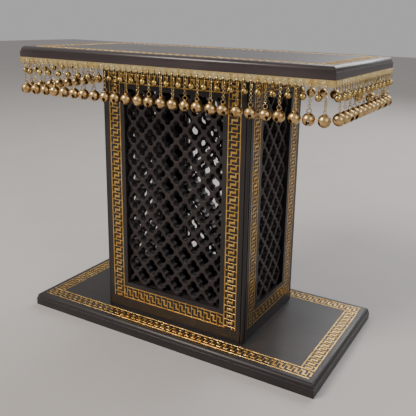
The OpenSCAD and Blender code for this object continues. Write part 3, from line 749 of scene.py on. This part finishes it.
# a ring with a boss over each leaf
medalY = addNode(stripTree, "ShaderNodeMath", {0: size["Height"], 1: size["Medal Down"]},
                 operation="SUBTRACT")
medalX = addNode(stripTree, "ShaderNodeMath", {0: halfPitch, 1: middleX}, operation="SUBTRACT")
medalLine = addNode(stripTree, "GeometryNodeMeshLine", {
    "Count": size["Units"], "Offset": step,
    "Start Location": addNode(stripTree, "ShaderNodeCombineXYZ", {0: medalX, 1: medalY, 2: size["Thickness"]})},
    mode="OFFSET")
medalRing = addNode(stripTree, "GeometryNodeCurveToMesh", {
    0: addNode(stripTree, "GeometryNodeCurvePrimitiveCircle", {"Resolution": 12, "Radius": size["Medal Ring"]}),
    1: addNode(stripTree, "GeometryNodeCurvePrimitiveCircle", {"Resolution": 4, "Radius": size["Bead"]})})
boss = addNode(stripTree, "GeometryNodeTransform", {
    "Geometry": addNode(stripTree, "GeometryNodeMeshUVSphere",
                        {"Segments": 8, "Rings": 6, "Radius": size["Medal Boss"]}),
    "Scale": (1.0, 1.0, 0.6)})
medal = addNode(stripTree, "GeometryNodeJoinGeometry", {0: medalRing})
stripTree.links.new(boss.outputs[0], medal.inputs[0])
medals = addNode(stripTree, "GeometryNodeInstanceOnPoints", {"Points": medalLine, "Instance": medal})
# a pair of upright bars over each hole
ribTop = addNode(stripTree, "ShaderNodeMath", {0: size["Height"], 1: size["Rib"]}, operation="SUBTRACT")
halfApart = addNode(stripTree, "ShaderNodeMath", {0: size["Rib Apart"], 1: 0.5}, operation="MULTIPLY")
bar = addNode(stripTree, "GeometryNodeCurveToMesh", {
    0: addNode(stripTree, "GeometryNodeCurvePrimitiveLine", {
        0: addNode(stripTree, "ShaderNodeCombineXYZ", {0: halfApart, 1: size["Rib Low"]}),
        1: addNode(stripTree, "ShaderNodeCombineXYZ", {0: halfApart, 1: ribTop})}),
    1: addNode(stripTree, "GeometryNodeCurvePrimitiveCircle", {"Resolution": 6, "Radius": size["Rib"]}),
    "Fill Caps": True})
ribs = addNode(stripTree, "GeometryNodeJoinGeometry", {0: bar})
stripTree.links.new(addNode(stripTree, "GeometryNodeTransform", {
    "Geometry": bar, "Rotation": (0, math.pi, 0)}).outputs[0], ribs.inputs[0])
ribLine = addNode(stripTree, "GeometryNodeMeshLine", {
    "Count": holeCount, "Offset": step,
    "Start Location": addNode(stripTree, "ShaderNodeCombineXYZ", {0: firstHole, 2: size["Thickness"]})},
    mode="OFFSET")
allRibs = addNode(stripTree, "GeometryNodeInstanceOnPoints", {"Points": ribLine, "Instance": ribs})
whole = addNode(stripTree, "GeometryNodeJoinGeometry", {0: closed})
for extra in (medals, allRibs):
    stripTree.links.new(extra.outputs[0], whole.inputs[0])
finishTree(stripTree, whole, size["Material"])

for side in sides:
    node = "brass_strip_" + side
    low, high = sideBox(node, side)
    units = int(2 * high.x / (strip["pitch"] * mm) / 2) * 2
    mesh = grow(stripTree, {
        "Units": units, "Pitch": strip["pitch"] * mm, "End": high.x, "Gap": strip["gap"] * mm,
        "Leaf": strip["leaf"] * mm, "Height": high.z - low.z, "Thickness": high.y - low.y,
        "Hole": strip["hole"] * mm, "Hole Up": (strip["leaf"] + strip["holeUp"]) * mm,
        "Medal Ring": strip["medalRing"] * mm, "Medal Boss": strip["medalBoss"] * mm,
        "Medal Down": strip["medalDown"] * mm, "Rib": strip["rib"] * mm,
        "Rib Apart": 2 * strip["ribApart"] * mm, "Rib Low": strip["ribLow"] * mm,
        "Bead": strip["bead"] * mm, "Material": stripBrass})
    mesh.shade_smooth()
    mesh.set_sharp_from_angle(angle=math.radians(50))
    place = Matrix.Translation((0, high.y, low.z)) @ Matrix.Rotation(math.radians(90), 4, "X")
    mesh = joinMeshes("brassStrip" + side.capitalize(), [(mesh, sideTurn(side) @ place)])
    makePiece(mesh.name, mesh, "stand", "brass_strip", node)
print("brass strips made")


# pendants

pendant = {
    "pitch": 14.6,         # mm, between two long ones; the short ones hang between them
    "hang": 308.6,         # height of the holes they hang from
    "ringTall": 7.2, "ringWide": 4.0, "ringWire": 0.7, "ringUp": 305.35,
    "links": 8, "link": 1.325, "linkWire": 0.275, "linkTop": 301.52, "linkStep": 1.98,
    "bell": 5.97, "bellUp": 277.33, "loop": 2.1, "loopWire": 0.4, "loopUp": 285.03,
    "slot": 2.2, "slotHole": 1.85, "rim": 0.0,
    "smallBell": 3.3, "smallBellUp": 297.07, "smallLoop": 1.45, "smallLoopWire": 0.3, "smallLoopUp": 301.42,
    "smallSlot": 1.3, "smallSlotHole": 0.85, "smallRim": 0.22,
    "wall": 0.5,
    # shares of a bell's radius
    "holeDown": -0.34, "boxDown": -0.94, "boxTall": 1.2, "boxLong": 2.4, "pea": 0.28,
    "collar": 0.27, "collarWire": 0.075, "collarUp": 0.955,
    "twist": 42, "smallTwist": 35,   # degrees, how far a bell may turn on its chain
    "sway": 0.022, "lean": 0.014,    # sideways and inward shift per mm of length
}


def ringShape(tree, radius, wire, around, across):
    # a wire ring standing in the XZ plane
    ring = addNode(tree, "GeometryNodeCurveToMesh", {
        0: addNode(tree, "GeometryNodeCurvePrimitiveCircle", {"Resolution": around, "Radius": radius}),
        1: addNode(tree, "GeometryNodeCurvePrimitiveCircle", {"Resolution": across, "Radius": wire})})
    return addNode(tree, "GeometryNodeTransform", {"Geometry": ring, "Rotation": (math.pi / 2, 0, 0)})


def rowStart(tree, count, pitch, up):
    # where a centred row of that many begins
    last = addNode(tree, "ShaderNodeMath", {0: count, 1: 1.0}, operation="SUBTRACT")
    half = addNode(tree, "ShaderNodeMath", {0: last, 1: -0.5}, operation="MULTIPLY")
    return addNode(tree, "ShaderNodeCombineXYZ", {
        0: addNode(tree, "ShaderNodeMath", {0: half, 1: pitch}, operation="MULTIPLY"), 2: up})


def rowPoints(tree, size):
    return addNode(tree, "GeometryNodeMeshLine", {
        "Count": size["Count"], "Start Location": rowStart(tree, size["Count"], size["Pitch"], 0.0),
        "Offset": addNode(tree, "ShaderNodeCombineXYZ", {0: size["Pitch"]})}, mode="OFFSET")


def swayed(tree, size, geometry):
    # every pendant leans a little its own way, from its hole down
    real = addNode(tree, "GeometryNodeRealizeInstances", {0: geometry})
    here = addNode(tree, "ShaderNodeSeparateXYZ", {0: addNode(tree, "GeometryNodeInputPosition")})
    first = addNode(tree, "ShaderNodeSeparateXYZ", {0: rowStart(tree, size["Count"], size["Pitch"], 0.0)})
    along = addNode(tree, "ShaderNodeMath", {0: here.outputs[0], 1: first.outputs[0]}, operation="SUBTRACT")
    number = addNode(tree, "ShaderNodeMath", {
        0: addNode(tree, "ShaderNodeMath", {0: along, 1: size["Pitch"]}, operation="DIVIDE")},
        operation="ROUND")
    chance = addNode(tree, "FunctionNodeRandomValue", {
        0: (-1.0, 0.0, 0.0), 1: (1.0, 1.0, 0.0), "ID": number, "Seed": size["Seed"]},
        data_type="FLOAT_VECTOR")
    drop = addNode(tree, "ShaderNodeMath", {0: size["Hang"], 1: here.outputs[2]}, operation="SUBTRACT")
    down = addNode(tree, "ShaderNodeMath", {0: drop, 1: 0.0}, operation="MAXIMUM")
    most = addNode(tree, "ShaderNodeCombineXYZ", {0: size["Sway"], 1: size["Lean"]})
    share = addNode(tree, "ShaderNodeVectorMath", {0: chance, 1: most}, operation="MULTIPLY")
    shift = addNode(tree, "ShaderNodeVectorMath", {0: share, "Scale": down}, operation="SCALE")
    return addNode(tree, "GeometryNodeSetPosition", {"Geometry": real, "Offset": shift})


def twistOf(tree, size, number):
    # the same pendant gets the same twist in its chain and its bell
    least = addNode(tree, "ShaderNodeMath", {0: size["Twist"], 1: -1.0}, operation="MULTIPLY")
    seed = addNode(tree, "ShaderNodeMath", {0: size["Seed"], 1: 50.0}, operation="ADD")
    return addNode(tree, "FunctionNodeRandomValue", {
        2: least, 3: size["Twist"], "ID": number, "Seed": seed}, data_type="FLOAT").outputs[1]


def hangingRing(tree, size):
    # the long ring through a hole of the strip, standing across the row
    flat = addNode(tree, "GeometryNodeCurvePrimitiveCircle", {"Resolution": 12, "Radius": size["Ring Round"]})
    stood = addNode(tree, "GeometryNodeTransform", {
        "Geometry": flat, "Rotation": (0, math.pi / 2, 0)})
    turned = addNode(tree, "GeometryNodeTransform", {
        "Geometry": stood, "Rotation": (math.pi / 12, 0, 0)})
    spot = addNode(tree, "ShaderNodeSeparateXYZ", {0: addNode(tree, "GeometryNodeInputPosition")})
    side = addNode(tree, "ShaderNodeMath", {0: spot.outputs[2]}, operation="SIGN")
    stretch = addNode(tree, "ShaderNodeCombineXYZ", {
        2: addNode(tree, "ShaderNodeMath", {0: side, 1: size["Ring Stretch"]}, operation="MULTIPLY")})
    path = addNode(tree, "GeometryNodeSetPosition", {"Geometry": turned, "Offset": stretch})
    wire = addNode(tree, "GeometryNodeCurveToMesh", {
        0: path,
        1: addNode(tree, "GeometryNodeCurvePrimitiveCircle", {"Resolution": 6, "Radius": size["Ring Wire"]})})
    return addNode(tree, "GeometryNodeTransform", {
        "Geometry": wire, "Translation": addNode(tree, "ShaderNodeCombineXYZ", {2: size["Ring Up"]})})


def bellShape(tree, size, segments, rings):
    # a hollow ball with a slot across its foot, a round hole at each end of it, a collar, a loop and a pea
    ball = addNode(tree, "GeometryNodeMeshUVSphere", {
        "Segments": segments, "Rings": rings, "Radius": size["Bell"]})
    innerRadius = addNode(tree, "ShaderNodeMath", {0: size["Bell"], 1: size["Wall"]}, operation="SUBTRACT")
    hollow = addNode(tree, "GeometryNodeMeshUVSphere", {
        "Segments": segments, "Rings": rings, "Radius": innerRadius})
    holeUp = addNode(tree, "ShaderNodeMath", {0: size["Bell"], 1: pendant["holeDown"]}, operation="MULTIPLY")
    boxUp = addNode(tree, "ShaderNodeMath", {0: size["Bell"], 1: pendant["boxDown"]}, operation="MULTIPLY")
    through = addNode(tree, "ShaderNodeMath", {0: size["Bell"], 1: pendant["boxLong"]}, operation="MULTIPLY")
    tall = addNode(tree, "ShaderNodeMath", {0: size["Bell"], 1: pendant["boxTall"]}, operation="MULTIPLY")
    slotBox = addNode(tree, "GeometryNodeTransform", {
        "Geometry": addNode(tree, "GeometryNodeMeshCube", {
            0: addNode(tree, "ShaderNodeCombineXYZ", {0: size["Slot"], 1: through, 2: tall})}),
        "Translation": addNode(tree, "ShaderNodeCombineXYZ", {2: boxUp})})
    slotHole = addNode(tree, "GeometryNodeTransform", {
        "Geometry": addNode(tree, "GeometryNodeMeshCylinder", {
            "Vertices": 14, "Radius": size["Slot Hole"], "Depth": through}),
        "Rotation": (math.pi / 2, 0, 0),
        "Translation": addNode(tree, "ShaderNodeCombineXYZ", {2: holeUp})})
    cut = addNode(tree, "GeometryNodeMeshBoolean", {0: ball}, operation="DIFFERENCE", solver="EXACT")
    for tool in (hollow, slotBox, slotHole):
        tree.links.new(tool.outputs[0], cut.inputs[1])
    peaRadius = addNode(tree, "ShaderNodeMath", {0: size["Bell"], 1: pendant["pea"]}, operation="MULTIPLY")
    peaUp = addNode(tree, "ShaderNodeMath", {0: peaRadius, 1: innerRadius}, operation="SUBTRACT")
    pea = addNode(tree, "GeometryNodeTransform", {
        "Geometry": addNode(tree, "GeometryNodeMeshUVSphere", {
            "Segments": 10, "Rings": 6, "Radius": peaRadius}),
        "Translation": addNode(tree, "ShaderNodeCombineXYZ", {2: peaUp})})
    collarRadius = addNode(tree, "ShaderNodeMath", {0: size["Bell"], 1: pendant["collar"]},
                            operation="MULTIPLY")
    collarWire = addNode(tree, "ShaderNodeMath", {0: size["Bell"], 1: pendant["collarWire"]},
                            operation="MULTIPLY")
    collarUp = addNode(tree, "ShaderNodeMath", {0: size["Bell"], 1: pendant["collarUp"]},
                            operation="MULTIPLY")
    collar = addNode(tree, "GeometryNodeTransform", {
        "Geometry": ringShape(tree, collarRadius, collarWire, 14, 5), "Rotation": (math.pi / 2, 0, 0),
        "Translation": addNode(tree, "ShaderNodeCombineXYZ", {2: collarUp})})
    loopUp = addNode(tree, "ShaderNodeMath", {0: size["Loop Up"], 1: size["Bell Up"]}, operation="SUBTRACT")
    loop = addNode(tree, "GeometryNodeTransform", {
        "Geometry": ringShape(tree, size["Loop"], size["Loop Wire"], 14, 6),
        "Translation": addNode(tree, "ShaderNodeCombineXYZ", {2: loopUp})})
    rimRadius = addNode(tree, "ShaderNodeMath", {0: size["Bell"], 1: size["Rim"]}, operation="SUBTRACT")
    rim = addNode(tree, "GeometryNodeTransform", {
        "Geometry": ringShape(tree, rimRadius, size["Rim"], segments, 6), "Rotation": (math.pi / 2, 0, 0)})
    hasRim = addNode(tree, "GeometryNodeSwitch", {
        0: addNode(tree, "ShaderNodeMath", {0: size["Rim"], 1: 0.00001}, operation="GREATER_THAN"),
        "True": rim}, input_type="GEOMETRY")
    whole = addNode(tree, "GeometryNodeJoinGeometry", {0: cut})
    for part in (pea, collar, loop, hasRim):
        tree.links.new(part.outputs[0], whole.inputs[0])
    return addNode(tree, "GeometryNodeTransform", {
        "Geometry": whole, "Translation": addNode(tree, "ShaderNodeCombineXYZ", {2: size["Bell Up"]})})


rowSockets = {"Count": "NodeSocketInt", "Pitch": "NodeSocketFloat", "Hang": "NodeSocketFloat",
              "Sway": "NodeSocketFloat", "Lean": "NodeSocketFloat", "Twist": "NodeSocketFloat",
              "Seed": "NodeSocketInt", "Material": "NodeSocketMaterial"}
ringSockets = {"Ring Round": "NodeSocketFloat", "Ring Stretch": "NodeSocketFloat",
               "Ring Wire": "NodeSocketFloat", "Ring Up": "NodeSocketFloat"}
bellSockets = {label: "NodeSocketFloat" for label in
               ("Bell", "Bell Up", "Wall", "Slot", "Slot Hole", "Loop", "Loop Wire", "Loop Up", "Rim")}

chainTree, size = newTree("row of chains", {
    **rowSockets, **ringSockets, "Links": "NodeSocketInt", "Link": "NodeSocketFloat",
    "Link Wire": "NodeSocketFloat", "Link Top": "NodeSocketFloat", "Link Step": "NodeSocketFloat"})
oneChain = addNode(chainTree, "GeometryNodeMeshLine", {
    "Count": size["Links"],
    "Start Location": addNode(chainTree, "ShaderNodeCombineXYZ", {2: size["Link Top"]}),
    "Offset": addNode(chainTree, "ShaderNodeCombineXYZ", {
        2: addNode(chainTree, "ShaderNodeMath", {0: size["Link Step"], 1: -1.0}, operation="MULTIPLY")})},
    mode="OFFSET")
linkPoints = addNode(chainTree, "GeometryNodeRealizeInstances", {0: addNode(
    chainTree, "GeometryNodeInstanceOnPoints", {"Points": rowPoints(chainTree, size), "Instance": oneChain})})
index = addNode(chainTree, "GeometryNodeInputIndex")
chainNumber = addNode(chainTree, "ShaderNodeMath", {
    0: addNode(chainTree, "ShaderNodeMath", {0: index, 1: size["Links"]}, operation="DIVIDE")},
    operation="FLOOR")
linkNumber = addNode(chainTree, "ShaderNodeMath", {0: index, 1: size["Links"]}, operation="MODULO")
linkRank = addNode(chainTree, "ShaderNodeMath", {0: linkNumber, 1: 1.0}, operation="ADD")
moreLinks = addNode(chainTree, "ShaderNodeMath", {0: size["Links"], 1: 1.0}, operation="ADD")
linkShare = addNode(chainTree, "ShaderNodeMath", {0: linkRank, 1: moreLinks}, operation="DIVIDE")
quarterTurn = addNode(chainTree, "ShaderNodeMath", {0: linkNumber, 1: math.pi / 2}, operation="MULTIPLY")
linkTurn = addNode(chainTree, "ShaderNodeMath", {
    0: twistOf(chainTree, size, chainNumber), 1: linkShare, 2: quarterTurn}, operation="MULTIPLY_ADD")
links = addNode(chainTree, "GeometryNodeInstanceOnPoints", {
    "Points": linkPoints, "Instance": ringShape(chainTree, size["Link"], size["Link Wire"], 12, 5),
    "Rotation": addNode(chainTree, "ShaderNodeCombineXYZ", {2: linkTurn})})
rings = addNode(chainTree, "GeometryNodeInstanceOnPoints", {
    "Points": rowPoints(chainTree, size), "Instance": hangingRing(chainTree, size)})
both = addNode(chainTree, "GeometryNodeJoinGeometry", {0: links})
chainTree.links.new(rings.outputs[0], both.inputs[0])
finishTree(chainTree, swayed(chainTree, size, both), size["Material"])

bellTree, size = newTree("row of bells", {**rowSockets, **bellSockets})
bells = addNode(bellTree, "GeometryNodeInstanceOnPoints", {
    "Points": rowPoints(bellTree, size), "Instance": bellShape(bellTree, size, 24, 14),
    "Rotation": addNode(bellTree, "ShaderNodeCombineXYZ", {
        2: twistOf(bellTree, size, addNode(bellTree, "GeometryNodeInputIndex"))})})
finishTree(bellTree, swayed(bellTree, size, bells), size["Material"])

smallTree, size = newTree("row of small bells", {**rowSockets, **ringSockets, **bellSockets})
smallBells = addNode(smallTree, "GeometryNodeInstanceOnPoints", {
    "Points": rowPoints(smallTree, size), "Instance": bellShape(smallTree, size, 18, 10),
    "Rotation": addNode(smallTree, "ShaderNodeCombineXYZ", {
        2: twistOf(smallTree, size, addNode(smallTree, "GeometryNodeInputIndex"))})})
rings = addNode(smallTree, "GeometryNodeInstanceOnPoints", {
    "Points": rowPoints(smallTree, size), "Instance": hangingRing(smallTree, size)})
both = addNode(smallTree, "GeometryNodeJoinGeometry", {0: smallBells})
smallTree.links.new(rings.outputs[0], both.inputs[0])
finishTree(smallTree, swayed(smallTree, size, both), size["Material"])

ringValues = {
    "Ring Round": (pendant["ringWide"] - pendant["ringWire"]) / 2 * mm,
    "Ring Stretch": (pendant["ringTall"] - pendant["ringWide"]) / 2 * mm,
    "Ring Wire": pendant["ringWire"] / 2 * mm, "Ring Up": pendant["ringUp"] * mm}
chainValues = {
    **ringValues, "Links": pendant["links"], "Link": pendant["link"] * mm,
    "Link Wire": pendant["linkWire"] * mm,
    "Link Top": pendant["linkTop"] * mm, "Link Step": pendant["linkStep"] * mm}
bellValues = {
    "Bell": pendant["bell"] * mm, "Bell Up": pendant["bellUp"] * mm, "Wall": pendant["wall"] * mm,
    "Slot": pendant["slot"] * mm, "Slot Hole": pendant["slotHole"] * mm, "Loop": pendant["loop"] * mm,
    "Loop Wire": pendant["loopWire"] * mm, "Loop Up": pendant["loopUp"] * mm, "Rim": pendant["rim"] * mm}
smallValues = {
    **ringValues, "Bell": pendant["smallBell"] * mm, "Bell Up": pendant["smallBellUp"] * mm,
    "Wall": pendant["wall"] * mm, "Slot": pendant["smallSlot"] * mm,
    "Slot Hole": pendant["smallSlotHole"] * mm,
    "Loop": pendant["smallLoop"] * mm, "Loop Wire": pendant["smallLoopWire"] * mm,
    "Loop Up": pendant["smallLoopUp"] * mm, "Rim": pendant["smallRim"] * mm}


def hangRow(kind, side, tree, values, count, seed, material, twist):
    # one row of one kind along one side, taking the place of the CAD node of that name
    low, high = sideBox("brass_strip_" + side, side)
    mesh = grow(tree, {
        **values, "Count": count, "Pitch": pendant["pitch"] * mm, "Hang": pendant["hang"] * mm,
        "Sway": pendant["sway"], "Lean": pendant["lean"], "Twist": math.radians(twist), "Seed": seed,
        "Material": material})
    mesh.shade_smooth()
    mesh.set_sharp_from_angle(angle=math.radians(40))
    place = Matrix.Translation((0, (low.y + high.y) / 2, 0))
    node = kind + "_" + side
    first, second = kind.split("_")
    mesh = joinMeshes(first + second.capitalize() + side.capitalize(), [(mesh, sideTurn(side) @ place)])
    body = ("short_row_" if kind.startswith("short") else "long_row_") + side
    makePiece(mesh.name, mesh, body, "bell_brass", node)


for number, side in enumerate(sides):
    stripHigh = sideBox("brass_strip_" + side, side)[1]
    fits = int(2 * stripHigh.x / (pendant["pitch"] * mm))
    longCount, shortCount = (fits, fits - 1) if fits % 2 == 0 else (fits - 1, fits)
    hangRow("long_chains", side, chainTree, chainValues, longCount, number, chainBrass, pendant["twist"])
    hangRow("long_bells", side, bellTree, bellValues, longCount, number, bellBrass, pendant["twist"])
    hangRow("short_pendants", side, smallTree, smallValues, shortCount, number + 20, smallBrass,
            pendant["smallTwist"])
print("pendants made")
